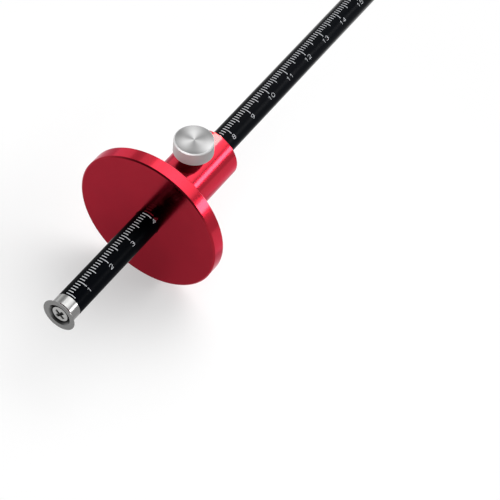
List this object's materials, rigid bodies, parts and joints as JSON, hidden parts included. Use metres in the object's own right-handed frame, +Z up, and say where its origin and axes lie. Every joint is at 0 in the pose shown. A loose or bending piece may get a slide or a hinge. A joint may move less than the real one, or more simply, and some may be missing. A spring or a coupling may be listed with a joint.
{
  "type": "wheel marking gauge",
  "caption": "Wheel marking gauge: a black graduated bar with a steel cutter wheel slides and turns in a red turned fence and is held by a thumb knob.",
  "frame": {"origin": "centre of the fence's reference face, on the bar's axis", "axes": "+X along the bar towards the cutter wheel, out of the reference face; +Z up through the clamp knob"},
  "size_m": [0.18, 0.0448, 0.0448],
  "materials": {
    "red_anodised": "glossy red anodised, fine turned",
    "black_anodised": "satin black anodised with white laser marks",
    "rubber": "matte",
    "cutter_steel": "ground and polished",
    "screw_steel": "bright zinc",
    "knob_aluminium": "spun face, frosted side",
    "brass": "plain turned",
    "scale_marks": "matte pale laser marks"
  },
  "bodies": {
    "fence": {"fence": "red_anodised"},
    "friction_ring": {"friction_ring": "rubber"},
    "bar": {"bar": "black_anodised", "cutter_wheel": "cutter_steel", "cutter_screw": "screw_steel"},
    "clamp_pad": {"clamp_pad": "brass"},
    "clamp_screw": {"clamp_knob": "knob_aluminium", "clamp_stud": "screw_steel"}
  },
  "joints": [
    {"name": "bar_turn", "type": "hinge", "parent": "fence", "child": "friction_ring", "pos_m": [0, 0, 0], "axis": [1, 0, 0], "continuous": true},
    {"name": "bar_slide", "type": "slide", "parent": "friction_ring", "child": "bar", "axis": [1, 0, 0], "range_m": [-0.0393, 0.105]},
    {"name": "clamp_lift", "type": "slide", "parent": "fence", "child": "clamp_pad", "axis": [0, 0, 1], "range_m": [0, 0.0014]},
    {"name": "clamp_turn", "type": "hinge", "parent": "clamp_pad", "child": "clamp_screw", "pos_m": [-0.022, 0, 0], "axis": [0, 0, 1], "range_deg": [0, 720]}
  ],
  "couplings": [
    {"joint": "clamp_turn", "follows": "clamp_lift", "rad_per_m": 8976}
  ]
}
